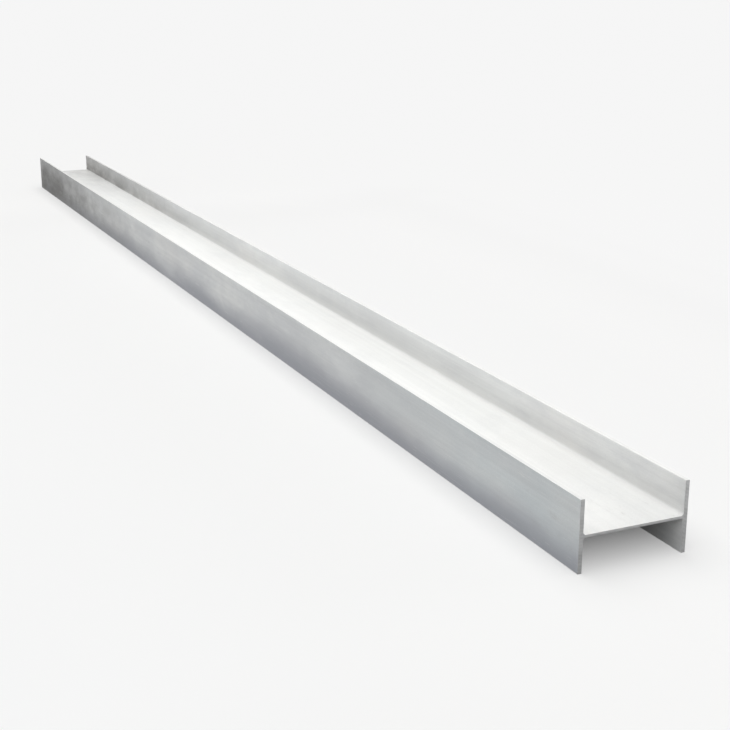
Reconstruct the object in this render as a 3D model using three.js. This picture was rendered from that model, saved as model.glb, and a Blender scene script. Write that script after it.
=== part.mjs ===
// Rolled steel H-beam, lying on the four toes of its flanges with its web level.
// Millimetres, +Z up, beam along Y, origin on the floor under the middle of the beam.
import * as THREE from "three";

// Driving dimensions of the rolled section (300 mm flanges, 488 mm deep, nominal 500 x 300).
const DEPTH = 488;
const FLANGE_WIDTH = 300;
const WEB_THICKNESS = 11;
const FLANGE_THICKNESS = 18;
const ROOT_RADIUS = 13;
const TOE_RADIUS = 2;
const BEAM_LENGTH = 10000;

// How finely the rounded parts of the outline are cut.
const ROOT_STEPS = 10;
const TOE_STEPS = 4;

// What follows from the driving dimensions.
const HALF_DEPTH = DEPTH / 2;
const HALF_WIDTH = FLANGE_WIDTH / 2;
const HALF_WEB = WEB_THICKNESS / 2;
const INNER_FACE = HALF_DEPTH - FLANGE_THICKNESS;

/**
 * Points of a quarter circle, both ends included.
 * @param {number} cx centre, across the beam
 * @param {number} cz centre, up
 * @param {number} radius radius of the arc
 * @param {number} from angle the arc starts at, in degrees
 * @param {number} turn angle the arc turns through, in degrees, negative when clockwise
 * @param {number} steps straight pieces the arc is cut into
 * @returns {THREE.Vector2[]} the points in order
 */
function arcPoints(cx, cz, radius, from, turn, steps) {
  const points = [];
  for (let i = 0; i <= steps; i += 1) {
    const angle = THREE.MathUtils.degToRad(from + (turn * i) / steps);
    points.push(new THREE.Vector2(cx + radius * Math.cos(angle), cz + radius * Math.sin(angle)));
  }
  return points;
}

/**
 * Upper right quarter of the section, from the web's middle to the flange's outer face.
 * @returns {THREE.Vector2[]} the points, counter-clockwise as seen from the near end, last to first
 */
function quarterOutline() {
  const root = arcPoints(
    INNER_FACE - ROOT_RADIUS,
    HALF_WEB + ROOT_RADIUS,
    ROOT_RADIUS,
    -90,
    90,
    ROOT_STEPS,
  );
  const innerToe = arcPoints(
    INNER_FACE + TOE_RADIUS,
    HALF_WIDTH - TOE_RADIUS,
    TOE_RADIUS,
    180,
    -90,
    TOE_STEPS,
  );
  const outerToe = arcPoints(
    HALF_DEPTH - TOE_RADIUS,
    HALF_WIDTH - TOE_RADIUS,
    TOE_RADIUS,
    90,
    -90,
    TOE_STEPS,
  );
  return [...root, ...innerToe, ...outerToe];
}

/**
 * Whole H outline: the quarter mirrored across both middle planes of the section.
 * @returns {THREE.Shape} closed outline, wound counter-clockwise
 */
function sectionShape() {
  const upperRight = quarterOutline();
  const mirrored = (sx, sz) => upperRight.map((p) => new THREE.Vector2(sx * p.x, sz * p.y));
  const outline = [
    ...mirrored(1, 1).reverse(),
    ...mirrored(-1, 1),
    ...mirrored(-1, -1).reverse(),
    ...mirrored(1, -1),
  ];
  return new THREE.Shape(outline);
}

/**
 * The beam's solid: the section carried along the length, with square-cut ends.
 * @returns {THREE.BufferGeometry} closed body standing on the floor
 */
function beamGeometry() {
  const geometry = new THREE.ExtrudeGeometry(sectionShape(), {
    depth: BEAM_LENGTH,
    steps: 1,
    bevelEnabled: false,
  });
  geometry.rotateX(Math.PI / 2);
  geometry.translate(0, BEAM_LENGTH / 2, HALF_WIDTH);
  return geometry;
}

const steel = new THREE.MeshStandardMaterial({
  name: "steel",
  color: new THREE.Color(0.56, 0.57, 0.58),
  metalness: 0.85,
  roughness: 0.45,
});

const beam = new THREE.Mesh(beamGeometry(), steel);
beam.name = "h_beam";

const part = new THREE.Group();
part.name = "steel_h_beam";
part.add(beam);

export default part;
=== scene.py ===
"""A rolled steel H-beam lying on the toes of its flanges, on a pale studio floor.

The beam is one piece of stock: two flanges and a web, rolled together and sawn square at both ends.
Everything is in metres, with the beam along Y, its near end at the negative side, and +Z up.
"""

import logging
import math
from collections.abc import Callable
from dataclasses import dataclass
from enum import Enum

import bmesh
import bpy
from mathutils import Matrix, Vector

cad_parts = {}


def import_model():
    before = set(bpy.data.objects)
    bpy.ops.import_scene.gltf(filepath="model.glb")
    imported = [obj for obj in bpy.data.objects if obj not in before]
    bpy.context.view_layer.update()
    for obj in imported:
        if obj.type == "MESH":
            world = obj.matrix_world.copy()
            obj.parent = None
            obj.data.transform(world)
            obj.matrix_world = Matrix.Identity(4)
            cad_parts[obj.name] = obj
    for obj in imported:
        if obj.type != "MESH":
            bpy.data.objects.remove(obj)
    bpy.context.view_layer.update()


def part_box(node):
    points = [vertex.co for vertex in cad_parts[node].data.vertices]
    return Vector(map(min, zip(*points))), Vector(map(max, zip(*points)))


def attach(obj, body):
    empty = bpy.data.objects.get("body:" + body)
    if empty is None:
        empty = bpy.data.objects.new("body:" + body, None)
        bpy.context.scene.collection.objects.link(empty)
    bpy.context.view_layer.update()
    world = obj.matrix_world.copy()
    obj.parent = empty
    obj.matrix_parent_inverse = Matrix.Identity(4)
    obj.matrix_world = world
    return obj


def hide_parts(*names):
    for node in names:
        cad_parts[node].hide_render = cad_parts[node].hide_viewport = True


LOG = logging.getLogger("h_beam")

BEAM_NODE = "h_beam"
BEAM_BODY = "root"

# Lengths that differ by less than this are the same.
NEAR_ENOUGH = 1e-4

Color = tuple[float, float, float]
Triple = tuple[float, float, float]
Socket = bpy.types.NodeSocket


class Surface(Enum):
    """The two kinds of surface on the beam, valued by their place among its materials."""

    ROLLED = 0
    SAWN = 1


class Element(Enum):
    """What edit mode selects."""

    EDGE = "EDGE"
    FACE = "FACE"


class Op(Enum):
    """Steps of arithmetic between sockets."""

    ADD = "ADD"
    SUBTRACT = "SUBTRACT"
    MULTIPLY = "MULTIPLY"
    DIVIDE = "DIVIDE"
    POWER = "POWER"
    SQRT = "SQRT"
    ABSOLUTE = "ABSOLUTE"
    MINIMUM = "MINIMUM"
    MAXIMUM = "MAXIMUM"
    SINE = "SINE"
    ARCTANGENT = "ARCTANGENT"


class Blend(Enum):
    """Ways in which one colour is laid over another."""

    MIX = "MIX"
    MULTIPLY = "MULTIPLY"


class Role(Enum):
    """What a softbox is there for."""

    LIGHT = "lights surfaces, and metal doesn't mirror it"
    MIRROR = "is mirrored in metal, and lights nothing else"
    BOTH = "lights surfaces, and metal mirrors it"


# ---------------------------------------------------------------------------------------------
# Shader nodes
# ---------------------------------------------------------------------------------------------


@dataclass(frozen=True)
class Ramp:
    """A smooth step: the values at which it begins and is complete, and the levels before and after."""

    start: float
    end: float
    low: float = 0.0
    high: float = 1.0


@dataclass(frozen=True)
class Pattern:
    """Fractal noise: its grains in a metre along each axis, its finer layers and their strength.

    The turn, in degrees, doesn't slant the grains. It only gives a pattern its own draw.
    """

    grains: Triple
    layers: float
    strength: float = 0.5
    turn: Triple = (0.0, 0.0, 0.0)


class Graph:
    """The shader nodes of one material, or of the world, wired together as they are made."""

    def __init__(self, owner: bpy.types.Material | bpy.types.World) -> None:
        """Starts with no nodes.

        Args:
            owner: the material or world that the nodes belong to.
        """
        owner.use_nodes = True
        self.owner = owner
        self.tree = owner.node_tree
        self.tree.nodes.clear()

    def node(self, kind: str, **settings: object) -> bpy.types.Node:
        """Adds a node and sets its properties.

        Args:
            kind: the node's type, without the ShaderNode at its front.
            settings: property names and their values.

        Returns:
            The new node.
        """
        made = self.tree.nodes.new(f"ShaderNode{kind}")
        for name, value in settings.items():
            setattr(made, name, value)
        return made

    def feed(self, target: Socket, value: Socket | float | tuple[float, ...]) -> None:
        """Links a socket into a target, or writes a plain value on it.

        Args:
            target: the input socket.
            value: an output socket, a number or a tuple.
        """
        if isinstance(value, Socket):
            self.tree.links.new(value, target)
        else:
            target.default_value = value

    def place(self) -> Socket:
        """The point being shaded, in metres, in the beam's own frame."""
        return self.node("TexCoord").outputs["Object"]

    def stretched(self, vector: Socket, scale: Triple, turn: Triple = (0.0, 0.0, 0.0)) -> Socket:
        """Stretches a vector along its axes, then turns it.

        Args:
            vector: the socket to start from.
            scale: factor on each axis; a small one draws a pattern out along that axis.
            turn: angle about each axis, in degrees.

        Returns:
            The socket of the changed vector.
        """
        mapping = self.node("Mapping")
        self.feed(mapping.inputs["Vector"], vector)
        mapping.inputs["Rotation"].default_value = tuple(math.radians(angle) for angle in turn)
        mapping.inputs["Scale"].default_value = scale
        return mapping.outputs["Vector"]

    def noise(self, vector: Socket, pattern: Pattern) -> Socket:
        """Fractal noise.

        Args:
            vector: the socket that the noise is read at.
            pattern: its grains and layers.

        Returns:
            The socket of the noise, about 0.5 on average.
        """
        made = self.node("TexNoise")
        self.feed(made.inputs["Vector"], self.stretched(vector, pattern.grains, pattern.turn))
        made.inputs["Scale"].default_value = 1.0
        made.inputs["Detail"].default_value = pattern.layers
        made.inputs["Roughness"].default_value = pattern.strength
        return made.outputs["Fac"]

    def plainly_seen(self) -> Socket:
        """Tells a look at the surface from light that bounces off it.

        Returns:
            A socket: one for the camera, a reflection or clear glass, nought for other light.
        """
        rays = self.node("LightPath")
        seen = rays.outputs["Is Camera Ray"]
        for name in ("Is Glossy Ray", "Is Transmission Ray"):
            seen = self.calc(Op.MAXIMUM, seen, rays.outputs[name])
        return seen

    def axes(self, vector: Socket) -> tuple[Socket, Socket, Socket]:
        """Takes a vector apart.

        Args:
            vector: the socket of the vector.

        Returns:
            The sockets of its three parts.
        """
        made = self.node("SeparateXYZ")
        self.feed(made.inputs[0], vector)
        return made.outputs["X"], made.outputs["Y"], made.outputs["Z"]

    def calc(self, operation: Op, first: Socket | float, second: Socket | float = 0.0) -> Socket:
        """One step of arithmetic.

        Args:
            operation: what is done.
            first: a socket or a number.
            second: a socket or a number, for a step that takes two.

        Returns:
            The socket of the result.
        """
        made = self.node("Math", operation=operation.value)
        self.feed(made.inputs[0], first)
        self.feed(made.inputs[1], second)
        return made.outputs[0]

    def squared(self, value: Socket) -> Socket:
        """A value times itself."""
        return self.calc(Op.MULTIPLY, value, value)

    def rest_of(self, share: Socket) -> Socket:
        """What a share leaves of one."""
        return self.calc(Op.SUBTRACT, 1.0, share)

    def ramp(self, value: Socket, step: Ramp) -> Socket:
        """A smooth step from one level to another.

        Args:
            value: the socket that drives the step.
            step: where the step lies, and its levels.

        Returns:
            The socket of the level.
        """
        made = self.node("MapRange", interpolation_type="SMOOTHSTEP")
        self.feed(made.inputs["Value"], value)
        made.inputs["From Min"].default_value = step.start
        made.inputs["From Max"].default_value = step.end
        made.inputs["To Min"].default_value = step.low
        made.inputs["To Max"].default_value = step.high
        return made.outputs["Result"]

    def tint(self, factor: Socket | float, below: Socket | Color, above: Socket | Color,
             blend: Blend = Blend.MIX) -> Socket:
        """Lays one colour over another.

        Args:
            factor: how much of the upper colour shows.
            below: the lower colour.
            above: the upper colour.
            blend: the way the two are combined.

        Returns:
            The socket of the colour.
        """
        made = self.node("Mix", data_type="RGBA", blend_type=blend.value)
        self.feed(made.inputs["Factor"], factor)
        for socket, color in ((made.inputs["A"], below), (made.inputs["B"], above)):
            self.feed(socket, (*color, 1.0) if isinstance(color, tuple) else color)
        return made.outputs["Result"]

    def shade(self, factor: Socket | float, color: Socket, level: Socket) -> Socket:
        """Makes a colour darker or lighter.

        Args:
            factor: how strongly it is shaded.
            color: the socket of the colour.
            level: the socket of what the colour is multiplied by.

        Returns:
            The socket of the shaded colour.
        """
        grey = self.node("CombineColor")
        for name in ("Red", "Green", "Blue"):
            self.feed(grey.inputs[name], level)
        return self.tint(factor, color, grey.outputs["Color"], Blend.MULTIPLY)

    def relief(self, height: Socket, depth: float, under: Socket | None = None) -> Socket:
        """Bumps the surface.

        Args:
            height: the socket of the height.
            depth: what a height of 1 stands for, in metres.
            under: the socket of a normal that this relief lies on.

        Returns:
            The socket of the bumped normal.
        """
        made = self.node("Bump")
        self.feed(made.inputs["Height"], height)
        made.inputs["Distance"].default_value = depth
        if under is not None:
            self.feed(made.inputs["Normal"], under)
        return made.outputs["Normal"]

    def finish(self, color: Socket, roughness: Socket, normal: Socket, metallic: float,
               specular: float = 0.5) -> bpy.types.Material:
        """Ends a material in one surface shader.

        Args:
            color: the socket of the base colour.
            roughness: the socket of the roughness.
            normal: the socket of the normal.
            metallic: the share of bare metal.
            specular: how strongly the share that isn't bare metal shines.

        Returns:
            The finished material.
        """
        shader = self.node("BsdfPrincipled")
        self.feed(shader.inputs["Base Color"], color)
        self.feed(shader.inputs["Roughness"], roughness)
        self.feed(shader.inputs["Normal"], normal)
        shader.inputs["Metallic"].default_value = metallic
        shader.inputs["Specular IOR Level"].default_value = specular
        output = self.node("OutputMaterial")
        self.feed(output.inputs["Surface"], shader.outputs["BSDF"])
        return self.owner


# ---------------------------------------------------------------------------------------------
# Finishes
# ---------------------------------------------------------------------------------------------


@dataclass(frozen=True)
class SectionPlace:
    """Where the parts of the section lie, for finishes that follow them. Metres."""

    mid_height: float
    half_depth: float
    half_width: float
    half_length: float
    half_web: float
    inner_face: float


class Finish:
    """A finish in the making: its nodes, and the point being shaded."""

    def __init__(self, name: str) -> None:
        """Starts the material.

        Args:
            name: the material's name.
        """
        self.graph = Graph(bpy.data.materials.new(name))
        self.place = self.graph.place()

    def noise(self, pattern: Pattern) -> Socket:
        """Fractal noise at the point being shaded."""
        return self.graph.noise(self.place, pattern)


class RolledSteel(Finish):
    """Pale mill finish of the rolled faces: cloudy, faintly streaked along the length, lightly scuffed.

    A ramp that follows a place on the beam is in metres, and one that follows a noise is in its level.
    """

    # The bare finish, and what lies on it, with painted light and shade among that.
    dark: Color = (0.68, 0.685, 0.69)
    pale: Color = (0.785, 0.79, 0.78)
    warm: Color = (0.755, 0.745, 0.73)
    cool: Color = (0.64, 0.70, 0.715)
    # Painted light: the paler colour laid on the web, as if lit from above.
    web_light: Color = (0.885, 0.89, 0.88)
    # Dull patches on the flanges, partly painted shade of the upright faces.
    dull: Color = (0.60, 0.605, 0.61)
    # Painted shade for the low part of the outer faces.
    low_shade: Color = (0.37, 0.375, 0.41)
    # Pale dust along the roots, which also paints the light that the web bounces there.
    dust_and_bounce: Color = (0.86, 0.86, 0.85)
    smudge: Color = (0.42, 0.41, 0.395)
    # Painted shade over the far end.
    far_shade: Color = (0.27, 0.265, 0.26)
    rubbed: Color = (0.80, 0.80, 0.79)
    metallic: float = 0.17
    specular: float = 0.08

    # How far short of a face its finish begins, and how far short of it that is complete.
    border_begins: float = 0.004
    border_ends: float = 0.001

    # Clouds and mottle, warm patches, and a cool cast that reaches from the near end.
    cloud_pattern: Pattern = Pattern((2.6, 1.1, 2.6), 4.0)
    mottle_pattern: Pattern = Pattern((14.0, 5.0, 14.0), 6.0, 0.68)
    mill_tone: Ramp = Ramp(0.39, 0.60)
    patch_pattern: Pattern = Pattern((1.7, 0.9, 1.7), 3.0, turn=(0.0, 0.0, 20.0))
    warm_share: Ramp = Ramp(0.54, 0.34, 0.0, 0.6)
    cool_reach: Ramp = Ramp(2.4, 0.6)
    cool_share: Ramp = Ramp(0.34, 0.60, 0.25, 0.75)

    # The rolls' streaks, which are fainter on the web, and fine speckle.
    streak_pattern: Pattern = Pattern((46.0, 0.42, 46.0), 6.0, 0.62)
    streak_level: Ramp = Ramp(0.30, 0.70, 0.945, 1.03)
    streak_strength: Ramp = Ramp(0.0, 1.0, 0.55, 1.0)
    grain_pattern: Pattern = Pattern((240.0, 240.0, 240.0), 3.0, 0.7)
    grain_level: Ramp = Ramp(0.3, 0.7, 0.955, 1.03)

    # Hairlines: long lines and shorter strokes, each in patches of their own.
    line_pattern: Pattern = Pattern((420.0, 2.4, 420.0), 1.0)
    line_cut: Ramp = Ramp(0.66, 0.72)
    line_patches: Ramp = Ramp(0.42, 0.60)
    stroke_pattern: Pattern = Pattern((330.0, 9.0, 330.0), 1.0, turn=(14.0, 0.0, 17.0))
    stroke_cut: Ramp = Ramp(0.69, 0.74)
    stroke_patches: Ramp = Ramp(0.55, 0.44)
    dragged_pattern: Pattern = Pattern((2.6, 2.6, 2.6), 2.0)
    hairline_share: float = 0.4

    # Matt scuffs where the beam was lifted and dragged.
    scuff_pattern: Pattern = Pattern((7.0, 3.0, 7.0), 7.0, 0.66)
    scuff_cut: Ramp = Ramp(0.56, 0.68)
    scuff_share: float = 0.25

    # Painted light that makes the web paler, as if lit from above, and large dull patches on the flanges,
    # which also paint shade on the upright faces.
    web_light_share: float = 0.55
    dull_and_shade_pattern: Pattern = Pattern((2.4, 0.8, 2.4), 3.0, turn=(0.0, 0.0, 25.0))
    dull_and_shade_share: Ramp = Ramp(0.38, 0.64, 0.0, 0.55)

    # Painted shade low on the outer faces, darker towards the ground, whose upper border drifts up and
    # down.
    drift_pattern: Pattern = Pattern((3.0, 1.0, 3.0), 4.0, 0.55)
    drift: float = 0.22
    low_shade_reach: Ramp = Ramp(0.30, 0.115, 0.0, 0.90)
    low_shade_power: float = 1.2

    # Pale dust in the roots, with painted light there as if bounced from the web, thicker in the paler
    # clouds.
    dust_and_bounce_reach: Ramp = Ramp(0.055, 0.010, 0.0, 0.45)
    dust_and_bounce_thickness: Ramp = Ramp(0.30, 0.62, 0.6, 1.0)

    # Smudges near the sawn ends.
    smudge_pattern: Pattern = Pattern((16.0, 7.0, 16.0), 6.0, 0.7)
    smudge_reach: Ramp = Ramp(0.55, 0.0)
    smudge_share: Ramp = Ramp(0.56, 0.70, 0.0, 0.30)

    # Painted shade over the far end: its reach from the far end, and its shares on the flanges, low and
    # high, and on the web.
    far_shade_pattern: Pattern = Pattern((9.0, 3.5, 9.0), 5.0, 0.6)
    far_shade_reach: Ramp = Ramp(5.1, 0.0, 0.0, 0.79)
    far_shade_patches: Ramp = Ramp(0.30, 0.65, 0.55, 1.15)
    far_shade_low: float = 1.2
    far_shade_high: float = 0.55
    far_shade_on_web: Ramp = Ramp(2.2, 0.0, 0.0, 0.45)

    # Bright metal on the toes, by how far below the top of the toe it is.
    toe_reach: Ramp = Ramp(0.0030, 0.0012)
    toe_share: Ramp = Ramp(0.35, 0.60, 0.35, 0.9)

    # Roughness by streak and grain, what scuffs add to it, and what hairlines take from it.
    streak_roughness: Ramp = Ramp(0.25, 0.75, 0.40, 0.55)
    grain_roughness: Ramp = Ramp(0.3, 0.7, -0.04, 0.04)
    scuff_roughness: float = 0.12
    hairline_polish: float = 0.14

    # Relief.
    wave_pattern: Pattern = Pattern((3.2, 1.3, 3.2), 1.0)
    wave_depth: float = 0.0022
    streak_depth: float = 0.00008
    grain_depth: float = 0.00006
    hairline_depth: float = 0.00003

    def __init__(self, section: SectionPlace) -> None:
        """Starts the material, and makes what several of its layers share.

        Args:
            section: where the parts of the section lie.
        """
        super().__init__("rolled_steel")
        graph = self.graph
        across, along, self.height = graph.axes(self.place)
        self.section = section
        self.across = graph.calc(Op.ABSOLUTE, across)
        self.above_web = graph.calc(Op.SUBTRACT, self.height, section.mid_height)
        self.from_near_end = graph.calc(Op.ADD, along, section.half_length)
        self.from_far_end = graph.calc(Op.SUBTRACT, section.half_length, along)
        self.on_flanges = self._past(section.inner_face)
        self.on_outer_faces = self._past(section.half_depth)
        self.clouds = self.noise(self.cloud_pattern)
        self.streaks = self.noise(self.streak_pattern)
        self.grain = self.noise(self.grain_pattern)
        self.hairlines = self._hairlines()
        self.scuffs = graph.ramp(self.noise(self.scuff_pattern), self.scuff_cut)

    def make(self) -> bpy.types.Material:
        """Builds the material, from the bare finish up to the bright toes.

        Returns:
            The finished material.
        """
        graph = self.graph
        color = self._mill_color()
        # Painted light on the web, and dull patches on the flanges that also paint shade on them.
        color = graph.tint(self._painted_web_light(), color, self.web_light)
        color = graph.tint(self._flange_dulling_and_shade(), color, self.dull)
        color = self._drawn(color)
        color = graph.tint(graph.calc(Op.MULTIPLY, self.scuffs, self.scuff_share), color, self.pale)
        # Painted shade, darker towards the ground on the outer faces.
        color = graph.tint(self._painted_low_shade(), color, self.low_shade)
        # Pale dust and painted bounce light along the root radii.
        color = graph.tint(self._root_dust_and_bounce(), color, self.dust_and_bounce)
        color = graph.tint(self._end_smudges(), color, self.smudge)
        # Painted shade over the far end of the beam.
        color = graph.tint(self._painted_far_shade(), color, self.far_shade)
        color = graph.tint(graph.calc(Op.MULTIPLY, self.hairlines, self.hairline_share), color, self.rubbed)
        color = graph.tint(self._toe_wear(), color, self.rubbed)
        return graph.finish(color, self._roughness(), self._normal(), self.metallic, self.specular)

    def _past(self, face: float) -> Socket:
        """One from an upright face of the section outwards, nought nearer to the middle."""
        return self.graph.ramp(self.across, Ramp(face - self.border_begins, face - self.border_ends))

    def _mill_color(self) -> Socket:
        """The bare finish: dark to pale by cloud and mottle, warm in patches, cool outside at the near end.

        Returns:
            The socket of the colour.
        """
        graph = self.graph
        both = graph.calc(Op.ADD, self.clouds, self.noise(self.mottle_pattern))
        tone = graph.calc(Op.DIVIDE, both, 2.0)
        color = graph.tint(graph.ramp(tone, self.mill_tone), self.dark, self.pale)
        patches = self.noise(self.patch_pattern)
        color = graph.tint(graph.ramp(patches, self.warm_share), color, self.warm)
        cast = graph.ramp(self.from_near_end, self.cool_reach)
        cast = graph.calc(Op.MULTIPLY, cast, graph.ramp(patches, self.cool_share))
        return graph.tint(graph.calc(Op.MULTIPLY, cast, self.on_outer_faces), color, self.cool)

    def _drawn(self, color: Socket) -> Socket:
        """Draws the rolls' streaks into a colour, and speckles it.

        Args:
            color: the socket of the colour.

        Returns:
            The socket of the streaked colour.
        """
        graph = self.graph
        strength = graph.ramp(self.on_flanges, self.streak_strength)
        color = graph.shade(strength, color, graph.ramp(self.streaks, self.streak_level))
        return graph.shade(1.0, color, graph.ramp(self.grain, self.grain_level))

    def _hairlines(self) -> Socket:
        """Thin drag marks along the beam, long in some patches and short in others.

        Returns:
            The socket of the marks: one on a mark, nought beside it.
        """
        graph = self.graph
        where = self.noise(self.dragged_pattern)
        lines = graph.ramp(self.noise(self.line_pattern), self.line_cut)
        lines = graph.calc(Op.MULTIPLY, lines, graph.ramp(where, self.line_patches))
        strokes = graph.ramp(self.noise(self.stroke_pattern), self.stroke_cut)
        strokes = graph.calc(Op.MULTIPLY, strokes, graph.ramp(where, self.stroke_patches))
        return graph.calc(Op.MAXIMUM, lines, strokes)

    def _painted_web_light(self) -> Socket:
        """The share of painted light on the web, which leaves the flanges out."""
        return self.graph.calc(Op.MULTIPLY, self.graph.rest_of(self.on_flanges), self.web_light_share)

    def _flange_dulling_and_shade(self) -> Socket:
        """The share of large dull patches on the flanges, soft at their borders, which also paint shade on
        the upright faces.
        """
        patches = self.graph.ramp(self.noise(self.dull_and_shade_pattern), self.dull_and_shade_share)
        return self.graph.calc(Op.MULTIPLY, self.on_flanges, patches)

    def _painted_low_shade(self) -> Socket:
        """Painted shade that deepens towards the ground on the flanges' outer faces.

        Returns:
            The socket of its share.
        """
        graph = self.graph
        drift = graph.calc(Op.MULTIPLY, self.noise(self.drift_pattern), self.drift)
        low = graph.ramp(graph.calc(Op.ADD, self.height, drift), self.low_shade_reach)
        return graph.calc(Op.MULTIPLY, self.on_outer_faces, graph.calc(Op.POWER, low, self.low_shade_power))

    def _root_dust_and_bounce(self) -> Socket:
        """Pale dust along the four root radii, with painted light there as if bounced from the web.

        Returns:
            The socket of its share, which depends on how far off the corner of web and flange is.
        """
        graph = self.graph
        across = graph.calc(Op.SUBTRACT, self.across, self.section.inner_face)
        above = graph.calc(Op.SUBTRACT, graph.calc(Op.ABSOLUTE, self.above_web), self.section.half_web)
        far = graph.calc(Op.SQRT, graph.calc(Op.ADD, graph.squared(across), graph.squared(above)))
        near = graph.calc(Op.MULTIPLY, graph.ramp(far, self.dust_and_bounce_reach), graph.rest_of(self.on_outer_faces))
        return graph.calc(Op.MULTIPLY, near, graph.ramp(self.clouds, self.dust_and_bounce_thickness))

    def _end_smudges(self) -> Socket:
        """Faint smudges on the last stretch before each sawn end.

        Returns:
            The socket of their share.
        """
        graph = self.graph
        from_end = graph.calc(Op.MINIMUM, self.from_near_end, self.from_far_end)
        blots = graph.ramp(self.noise(self.smudge_pattern), self.smudge_share)
        return graph.calc(Op.MULTIPLY, graph.ramp(from_end, self.smudge_reach), blots)

    def _painted_far_shade(self) -> Socket:
        """Painted shade over the far half, thin at the flanges' tops, and on the web near the very end.

        Returns:
            The socket of its share.
        """
        graph = self.graph
        far_darkness = graph.ramp(self.from_far_end, self.far_shade_reach)
        patches = graph.ramp(self.noise(self.far_shade_pattern), self.far_shade_patches)
        far_darkness = graph.calc(Op.MULTIPLY, far_darkness, patches)
        rising = Ramp(0.0, self.section.half_width, self.far_shade_low, self.far_shade_high)
        share = graph.calc(Op.MULTIPLY, graph.ramp(self.above_web, rising), self.on_flanges)
        share = graph.calc(Op.MAXIMUM, share, graph.ramp(self.from_far_end, self.far_shade_on_web))
        return graph.calc(Op.MULTIPLY, far_darkness, share)

    def _toe_wear(self) -> Socket:
        """Bright metal on the toes, where beams slide on each other.

        Returns:
            The socket of its share.
        """
        graph = self.graph
        above = graph.calc(Op.ABSOLUTE, self.above_web)
        toe = graph.ramp(graph.calc(Op.SUBTRACT, self.section.half_width, above), self.toe_reach)
        return graph.calc(Op.MULTIPLY, toe, graph.ramp(self.streaks, self.toe_share))

    def _roughness(self) -> Socket:
        """Semi-gloss, duller where scuffed and keener along the hairlines.

        Returns:
            The socket of the roughness.
        """
        graph = self.graph
        value = graph.ramp(self.streaks, self.streak_roughness)
        value = graph.calc(Op.ADD, value, graph.ramp(self.grain, self.grain_roughness))
        value = graph.calc(Op.ADD, value, graph.calc(Op.MULTIPLY, self.scuffs, self.scuff_roughness))
        return graph.calc(Op.SUBTRACT, value, graph.calc(Op.MULTIPLY, self.hairlines, self.hairline_polish))

    def _normal(self) -> Socket:
        """Slight waviness from the rolls, drawn streaks, grain and hairlines.

        Returns:
            The socket of the normal.
        """
        graph = self.graph
        normal = graph.relief(self.noise(self.wave_pattern), self.wave_depth)
        normal = graph.relief(self.streaks, self.streak_depth, normal)
        normal = graph.relief(self.grain, self.grain_depth, normal)
        return graph.relief(graph.rest_of(self.hairlines), self.hairline_depth, normal)


class SawnSteel(Finish):
    """Cut ends: bright metal with the arcs that a disc saw leaves."""

    base: Color = (0.52, 0.525, 0.525)
    bright: Color = (0.66, 0.66, 0.655)
    dull: Color = (0.40, 0.405, 0.41)
    metallic: float = 0.8

    # The middle of the saw's disc in the plane of the cut, and its marks: how they wander, what share
    # of them is fine, and how much slower than the fine ones the broad ones come.
    cut_plane: Triple = (1.0, 0.0, 1.0)
    disc_middle: Triple = (-0.35, 0.0, -0.75)
    arcs_in_a_metre: float = 520.0
    arc_depth: float = 0.00005
    wander_pattern: Pattern = Pattern((9.0, 9.0, 9.0), 3.0)
    wander: float = 0.012
    fine_share: float = 0.6
    broad_pace: float = 0.137
    bright_share: Ramp = Ramp(-0.2, 1.0, 0.0, 0.5)

    # The metal between the marks.
    cloud_pattern: Pattern = Pattern((22.0, 22.0, 22.0), 5.0, 0.6)
    cloud_tone: Ramp = Ramp(0.35, 0.65)
    cloud_roughness: Ramp = Ramp(0.3, 0.7, 0.36, 0.50)
    grain_pattern: Pattern = Pattern((700.0, 700.0, 700.0), 2.0)
    grain_depth: float = 0.00003

    def __init__(self) -> None:
        """Starts the material."""
        super().__init__("sawn_steel")

    def make(self) -> bpy.types.Material:
        """Builds the material.

        Returns:
            The finished material.
        """
        graph = self.graph
        arcs = self._arcs()
        clouds = self.noise(self.cloud_pattern)
        color = graph.tint(graph.ramp(clouds, self.cloud_tone), self.dull, self.base)
        color = graph.tint(graph.ramp(arcs, self.bright_share), color, self.bright)
        normal = graph.relief(arcs, self.arc_depth)
        normal = graph.relief(self.noise(self.grain_pattern), self.grain_depth, normal)
        return graph.finish(color, graph.ramp(clouds, self.cloud_roughness), normal, self.metallic)

    def _arcs(self) -> Socket:
        """The saw's marks: fine arcs round the disc's middle, and broader ones among them.

        Returns:
            The socket of their height, from -1 to 1.
        """
        graph = self.graph
        reach = graph.node("VectorMath", operation="DISTANCE")
        graph.feed(reach.inputs[0], graph.stretched(self.place, self.cut_plane))
        graph.feed(reach.inputs[1], self.disc_middle)
        wander = graph.calc(Op.MULTIPLY, self.noise(self.wander_pattern), self.wander)
        path = graph.calc(Op.ADD, reach.outputs["Value"], wander)
        phase = graph.calc(Op.MULTIPLY, path, self.arcs_in_a_metre * math.tau)
        fine = graph.calc(Op.MULTIPLY, graph.calc(Op.SINE, phase), self.fine_share)
        broad = graph.calc(Op.SINE, graph.calc(Op.MULTIPLY, phase, self.broad_pace))
        return graph.calc(Op.ADD, fine, graph.calc(Op.MULTIPLY, broad, 1.0 - self.fine_share))


# ---------------------------------------------------------------------------------------------
# The beam
# ---------------------------------------------------------------------------------------------


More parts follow.
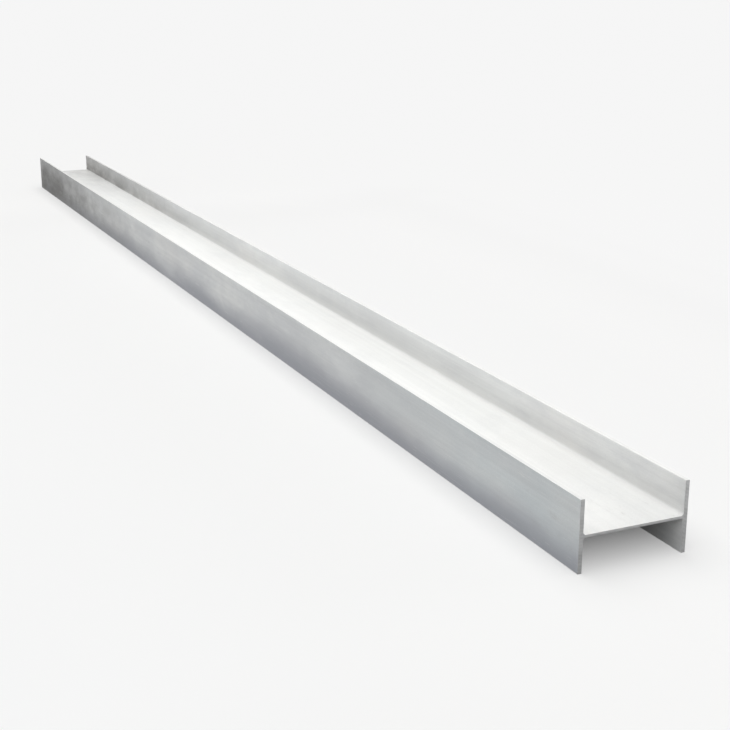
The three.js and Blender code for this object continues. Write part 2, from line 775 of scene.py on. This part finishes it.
def pick(element: Element, test: Callable[[bmesh.types.BMEdge | bmesh.types.BMFace], bool]) -> None:
    """Selects, in edit mode, the edges or faces that pass a test, and nothing else.

    Args:
        element: which of the two.
        test: says of one edge or face whether it is wanted.
    """
    bpy.ops.mesh.select_mode(type=element.value)
    bpy.ops.mesh.select_all(action="DESELECT")
    mesh = bpy.context.edit_object.data
    shape = bmesh.from_edit_mesh(mesh)
    for candidate in shape.edges if element is Element.EDGE else shape.faces:
        if test(candidate):
            candidate.select_set(True)
    shape.select_flush_mode()
    bmesh.update_edit_mesh(mesh, loop_triangles=False, destructive=False)


def same(first: float, second: float) -> bool:
    """Whether two lengths are the same, near enough."""
    return abs(first - second) < NEAR_ENOUGH


@dataclass
class RolledBeam:
    """The beam, rolled in one piece and sawn square at both ends. Metres and degrees."""

    low: Vector
    high: Vector
    web: float = 0.011
    flange: float = 0.018
    root_radius: float = 0.013
    toe_radius: float = 0.002
    sawn_corner: float = 0.0006
    root_steps: int = 14
    toe_steps: int = 5
    sawn_corner_steps: int = 2
    strips: int = 80
    flat_within: float = 1.0
    smooth_within: float = 30.0
    end_facing: float = 0.9

    @property
    def place(self) -> SectionPlace:
        """Where the parts of the section lie.

        Returns:
            Their distances from the beam's middle, and the height of that middle.
        """
        half = (self.high - self.low) / 2
        return SectionPlace(
            mid_height=(self.high.z + self.low.z) / 2,
            half_depth=half.x,
            half_width=half.z,
            half_length=half.y,
            half_web=self.web / 2,
            inner_face=half.x - self.flange,
        )

    def build(self) -> bpy.types.Object:
        """Models the beam from a web blank and gives it its finishes.

        Returns:
            The beam's object, at the origin, riding on its body in place of the plain solid.
        """
        beam = self._web_blank()
        bpy.ops.object.mode_set(mode="EDIT")
        self._mark_flanges()
        self._draw_out_flanges()
        self._join_flats()
        self._round_roots()
        self._round_toes()
        self._break_sawn_corners()
        self._cut_into_strips()
        bpy.ops.mesh.select_all(action="SELECT")
        bpy.ops.mesh.normals_make_consistent(inside=False)
        bpy.ops.object.mode_set(mode="OBJECT")
        self._dress(beam)
        bpy.ops.object.shade_smooth_by_angle(angle=math.radians(self.smooth_within))
        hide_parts(BEAM_NODE)
        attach(beam, BEAM_BODY)
        return beam

    def _web_blank(self) -> bpy.types.Object:
        """Adds a flat bar as deep as the section and as thick as the web.

        Returns:
            The bar's object, at the origin, with its place in its mesh.
        """
        bpy.ops.object.select_all(action="DESELECT")
        size = self.high - self.low
        middle = (self.high + self.low) / 2
        bpy.ops.mesh.primitive_cube_add(size=1.0, location=middle, scale=(size.x, size.y, self.web))
        beam = bpy.context.active_object
        beam.name = "beam"
        beam.data.name = "beam"
        bpy.ops.object.transform_apply(location=True, rotation=True, scale=True)
        return beam

    def _mark_flanges(self) -> None:
        """Cuts the blank where the web meets each flange."""
        for side in (-1.0, 1.0):
            bpy.ops.mesh.select_all(action="SELECT")
            bpy.ops.mesh.bisect(plane_co=(side * self.place.inner_face, 0.0, 0.0), plane_no=(1.0, 0.0, 0.0))

    def _draw_out_flanges(self) -> None:
        """Extrudes the marked edges of the blank up and down into flanges."""
        place = self.place
        reach = place.half_width - place.half_web
        for way in (-1.0, 1.0):
            pick(
                Element.FACE,
                lambda face, way=way: same(face.normal.z, way)
                and abs(face.calc_center_median().x) > place.inner_face,
            )
            bpy.ops.mesh.extrude_region_move(TRANSFORM_OT_translate={"value": (0.0, 0.0, way * reach)})

    def _join_flats(self) -> None:
        """Makes each flat side, and each end, one face again."""
        bpy.ops.mesh.select_all(action="SELECT")
        bpy.ops.mesh.dissolve_limited(angle_limit=math.radians(self.flat_within))

    def _runs_along(self, edge: bmesh.types.BMEdge, across: float, above: float) -> bool:
        """Tells the long edges of the section apart.

        Args:
            edge: an edge of the beam.
            across: a distance from the section's upright middle plane, to either side.
            above: a distance from its level middle plane, up or down.

        Returns:
            Whether the edge runs along the beam at these distances.
        """
        first, second = (corner.co for corner in edge.verts)
        return (
            not same(first.y, second.y)
            and same(abs(first.x), across)
            and same(abs(second.x), across)
            and same(abs(first.z - self.place.mid_height), above)
            and same(abs(second.z - self.place.mid_height), above)
        )

    def _round_roots(self) -> None:
        """Fills the four inside corners with their radius."""
        place = self.place
        pick(Element.EDGE, lambda edge: self._runs_along(edge, place.inner_face, place.half_web))
        bpy.ops.mesh.bevel(offset=self.root_radius, segments=self.root_steps, affect="EDGES")

    def _round_toes(self) -> None:
        """Rounds the two corners of each toe."""
        place = self.place
        pick(
            Element.EDGE,
            lambda edge: self._runs_along(edge, place.inner_face, place.half_width)
            or self._runs_along(edge, place.half_depth, place.half_width),
        )
        bpy.ops.mesh.bevel(offset=self.toe_radius, segments=self.toe_steps, affect="EDGES")

    def _break_sawn_corners(self) -> None:
        """Takes the sharpness off the edge round each sawn end."""
        half_length = self.place.half_length
        pick(Element.EDGE, lambda edge: all(same(abs(corner.co.y), half_length) for corner in edge.verts))
        bpy.ops.mesh.bevel(offset=self.sawn_corner, segments=self.sawn_corner_steps, affect="EDGES")

    def _cut_into_strips(self) -> None:
        """Divides the length, so that no face is drawn out into a sliver."""
        pick(Element.EDGE, lambda edge: edge.calc_length() > self.place.half_length)
        bpy.ops.mesh.subdivide(number_cuts=self.strips - 1)

    def _dress(self, beam: bpy.types.Object) -> None:
        """Gives the sides the rolled finish and the ends the sawn one.

        Args:
            beam: the beam's object.
        """
        beam.data.materials.append(RolledSteel(self.place).make())
        beam.data.materials.append(SawnSteel().make())
        for face in beam.data.polygons:
            is_end = abs(face.normal.y) > self.end_facing
            face.material_index = (Surface.SAWN if is_end else Surface.ROLLED).value


# ---------------------------------------------------------------------------------------------
# Floor, light and camera
# ---------------------------------------------------------------------------------------------


@dataclass(frozen=True)
class Softbox:
    """One area lamp, and the light that it throws on the floor. Metres and degrees."""

    name: str
    stands_at: Triple
    points_at: Triple
    size: tuple[float, float]
    radiance: float
    color: Color = (1.0, 1.0, 1.0)
    spread: float = 180.0
    role: Role = Role.BOTH

    # The floor's light before an upright lamp: its peak for one metre of the lamp's height, how it
    # rises and fades on the way out, and how it ends sideways, from the lamp's ends.
    floor_peak: float = 0.188
    floor_rise: Ramp = Ramp(0.0, 0.95)
    floor_fade: Ramp = Ramp(1.1, 5.7, 1.0, 0.0)
    floor_end: Ramp = Ramp(-0.6, 0.8, 1.0, 0.0)

    def hang(self) -> None:
        """Adds the lamp to the scene."""
        lamp = bpy.data.lights.new(self.name, "AREA")
        lamp.shape = "RECTANGLE"
        lamp.size, lamp.size_y = self.size
        lamp.energy = self.radiance * math.pi * self.size[0] * self.size[1]
        lamp.color = self.color
        lamp.spread = math.radians(self.spread)
        holder = bpy.data.objects.new(self.name, lamp)
        holder.location = self.stands_at
        aim = Vector(self.points_at) - Vector(self.stands_at)
        holder.rotation_euler = aim.to_track_quat("-Z", "Y").to_euler()
        holder.visible_camera = False
        holder.visible_diffuse = self.role is not Role.MIRROR
        holder.visible_glossy = self.role is not Role.LIGHT
        bpy.context.scene.collection.objects.link(holder)

    def light_below(self, graph: Graph, across: Socket, along: Socket) -> Socket:
        """Works out how brightly a lamp that hangs level lights the floor below it.

        It adds up the view factors of the lamp's four quarters, which meet above the point.

        Args:
            graph: the floor's nodes.
            across: the socket of the point's place along X.
            along: the socket of its place along Y.

        Returns:
            The socket of the light, on the scale of the lamp's own radiance.
        """
        height = self.stands_at[2]
        total: Socket | float = 0.0
        for side in (-1.0, 1.0):
            edge = (self.stands_at[0] + side * self.size[0] / 2) / height
            out = graph.calc(Op.SUBTRACT, edge, graph.calc(Op.DIVIDE, across, height))
            for way in (-1.0, 1.0):
                edge = (self.stands_at[1] + way * self.size[1] / 2) / height
                on = graph.calc(Op.SUBTRACT, edge, graph.calc(Op.DIVIDE, along, height))
                one, other = self._half_factor(graph, out, on), self._half_factor(graph, on, out)
                quarter = graph.calc(Op.ADD, one, other)
                total = graph.calc(Op.ADD, total, graph.calc(Op.MULTIPLY, quarter, side * way))
        return graph.calc(Op.MULTIPLY, total, self.radiance / math.tau)

    def _half_factor(self, graph: Graph, first: Socket, second: Socket) -> Socket:
        """Half of the view factor of a level rectangle that has one corner right above the point.

        Args:
            graph: the floor's nodes.
            first: the socket of one side, over the rectangle's height.
            second: the socket of the other side, over that height.

        Returns:
            The socket of the half that goes with the first side, times a full turn.
        """
        slope = graph.calc(Op.SQRT, graph.calc(Op.ADD, graph.squared(first), 1.0))
        angle = graph.calc(Op.ARCTANGENT, graph.calc(Op.DIVIDE, second, slope))
        return graph.calc(Op.MULTIPLY, graph.calc(Op.DIVIDE, first, slope), angle)

    def light_in_front(self, graph: Graph, across: Socket, along: Socket) -> Socket:
        """Works out roughly how brightly an upright lamp lights the floor in front of it.

        Args:
            graph: the floor's nodes.
            across: the socket of the point's place along X.
            along: the socket of its place along Y.

        Returns:
            The socket of the light, on the scale of the lamp's own radiance.
        """
        way = math.copysign(1.0, self.points_at[0] - self.stands_at[0])
        out = graph.calc(Op.MULTIPLY, graph.calc(Op.SUBTRACT, across, self.stands_at[0]), way)
        beside = graph.calc(Op.ABSOLUTE, graph.calc(Op.SUBTRACT, along, self.stands_at[1]))
        past_end = graph.calc(Op.SUBTRACT, beside, self.size[0] / 2)
        peak = self.floor_peak * self.radiance * self.size[1]
        light = graph.calc(Op.MULTIPLY, graph.ramp(out, self.floor_rise), peak)
        light = graph.calc(Op.MULTIPLY, light, graph.squared(graph.ramp(out, self.floor_fade)))
        return graph.calc(Op.MULTIPLY, light, graph.ramp(past_end, self.floor_end))


@dataclass(frozen=True)
class Studio:
    """A pale floor, soft light all round and a camera off the beam's near end. Metres and degrees."""

    beam: SectionPlace

    # The floor: its size, how pale it looks, how pale it is in the light that it throws back, and the
    # stretch in from the beam's ends over which its shade deepens.
    floor_radius: float = 400.0
    floor_corners: int = 96
    floor_seen: float = 0.46
    floor_bounce: float = 0.22
    shade_depth: float = 0.5

    # The sky: how pale it looks low down and overhead, the sines of the elevations between which that
    # changes, and how much light it gives.
    backdrop: float = 0.92
    overhead: float = 0.30
    overhead_from: float = 0.36
    overhead_to: float = 0.86
    sky: float = 0.32

    ceiling: Softbox = Softbox(
        name="ceiling",
        stands_at=(-0.4, -0.1, 2.6),
        points_at=(-0.4, -0.1, 0.0),
        size=(2.6, 16.8),
        radiance=1.85,
        color=(1.0, 1.0, 0.985),
        role=Role.LIGHT,
    )
    left: Softbox = Softbox(
        name="left",
        stands_at=(-3.6, -1.4, 0.72),
        points_at=(0.0, -1.4, 0.2),
        size=(9.8, 1.0),
        radiance=0.88,
        color=(0.945, 0.98, 1.0),
        spread=80.0,
    )
    right: Softbox = Softbox(
        name="right",
        stands_at=(3.6, -2.0, 0.9),
        points_at=(0.0, -2.0, 0.2),
        size=(10.0, 1.2),
        radiance=0.62,
        color=(1.0, 0.995, 0.985),
        spread=80.0,
    )
    behind: Softbox = Softbox(
        name="behind",
        stands_at=(4.4, 4.6, 3.2),
        points_at=(0.1, 2.9, 2.3),
        size=(12.0, 4.6),
        radiance=0.90,
        role=Role.MIRROR,
    )

    camera_place: Triple = (-2.8298, -8.8233, 2.1682)
    camera_azimuth: float = -24.217
    camera_elevation: float = 16.582
    camera_lens: float = 65.97
    camera_sight: float = 1000.0

    def build(self) -> None:
        """Lays the floor, lights it and sets up the camera."""
        self._floor()
        self._sky()
        for softbox in (self.ceiling, self.left, self.right, self.behind):
            softbox.hang()
        self._camera()
        bpy.context.scene.view_settings.view_transform = "Standard"

    def _floor(self) -> None:
        """Lays a flat round floor."""
        bpy.ops.object.select_all(action="DESELECT")
        bpy.ops.mesh.primitive_circle_add(
            vertices=self.floor_corners, radius=self.floor_radius, fill_type="NGON"
        )
        floor = bpy.context.active_object
        floor.name = "floor"
        floor.data.materials.append(self._floor_paint())

    def _floor_paint(self) -> bpy.types.Material:
        """Matt paint that reads as the backdrop's pale grey and still takes the beam's shadow.

        Returns:
            The material. Its glow makes up what the light leaves short of the backdrop, so that open
            floor is even, and there is none under the beam.
        """
        graph = Graph(bpy.data.materials.new("floor_paint"))
        matt = graph.node("BsdfDiffuse")
        is_shown = graph.node("LightPath").outputs["Is Camera Ray"]
        shown, bounce = (self.floor_seen,) * 3, (self.floor_bounce,) * 3
        graph.feed(matt.inputs["Color"], graph.tint(is_shown, bounce, shown))
        across, along, _ = graph.axes(graph.place())
        light = graph.calc(Op.ADD, self.ceiling.light_below(graph, across, along), self.sky)
        for softbox in (self.left, self.right):
            light = graph.calc(Op.ADD, light, softbox.light_in_front(graph, across, along))
        short = graph.calc(Op.SUBTRACT, self.backdrop, graph.calc(Op.MULTIPLY, light, self.floor_seen))
        short = graph.calc(Op.MULTIPLY, short, self._open_floor(graph, across, along))
        glow = graph.node("Emission")
        graph.feed(glow.inputs["Strength"], graph.calc(Op.MULTIPLY, graph.plainly_seen(), short))
        both = graph.node("AddShader")
        graph.feed(both.inputs[0], matt.outputs["BSDF"])
        graph.feed(both.inputs[1], glow.outputs["Emission"])
        output = graph.node("OutputMaterial")
        graph.feed(output.inputs["Surface"], both.outputs["Shader"])
        return graph.owner

    def _open_floor(self, graph: Graph, across: Socket, along: Socket) -> Socket:
        """Tells open floor from the floor under the beam.

        Args:
            graph: the floor's nodes.
            across: the socket of the point's place along X.
            along: the socket of its place along Y.

        Returns:
            A socket: one on open floor, falling to nought between the flanges a short way in from
            either end.
        """
        past_flange = Ramp(self.beam.inner_face, self.beam.half_depth)
        past_end = Ramp(self.beam.half_length - self.shade_depth, self.beam.half_length)
        beside = graph.ramp(graph.calc(Op.ABSOLUTE, across), past_flange)
        beyond = graph.ramp(graph.calc(Op.ABSOLUTE, along), past_end)
        return graph.calc(Op.MAXIMUM, beside, beyond)

    def _sky(self) -> None:
        """Even light from the whole sky, which looks as pale as the backdrop up to well above the floor."""
        world = bpy.data.worlds.new("studio_sky")
        bpy.context.scene.world = world
        graph = Graph(world)
        height = graph.axes(graph.node("TexCoord").outputs["Generated"])[2]
        look = graph.ramp(height, Ramp(self.overhead_from, self.overhead_to, self.backdrop, self.overhead))
        extra = graph.calc(Op.MULTIPLY, graph.plainly_seen(), graph.calc(Op.SUBTRACT, look, self.sky))
        background = graph.node("Background")
        background.inputs["Color"].default_value = (1.0, 1.0, 1.0, 1.0)
        graph.feed(background.inputs["Strength"], graph.calc(Op.ADD, extra, self.sky))
        output = graph.node("OutputWorld")
        graph.feed(output.inputs["Surface"], background.outputs["Background"])

    def _camera(self) -> None:
        """Sets up a camera a little above head height, off the beam's near end and to its left."""
        lens = bpy.data.cameras.new("camera")
        lens.lens = self.camera_lens
        lens.clip_end = self.camera_sight
        camera = bpy.data.objects.new("camera", lens)
        turn, rise = math.radians(self.camera_azimuth), math.radians(self.camera_elevation)
        back = Vector((math.sin(turn) * math.cos(rise), -math.cos(turn) * math.cos(rise), math.sin(rise)))
        camera.location = self.camera_place
        camera.rotation_euler = (-back).to_track_quat("-Z", "Y").to_euler()
        bpy.context.scene.collection.objects.link(camera)
        bpy.context.scene.camera = camera


def main() -> None:
    """Builds the beam to the plain solid's size, and its studio."""
    logging.basicConfig(level=logging.INFO, format="%(name)s: %(message)s")
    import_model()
    low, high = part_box(BEAM_NODE)
    beam = RolledBeam(low, high)
    made = beam.build()
    LOG.info("%s: %d faces", made.name, len(made.data.polygons))
    Studio(beam.place).build()
    LOG.info("studio: floor, sky, softboxes and camera")


if __name__ == "__main__":
    main()
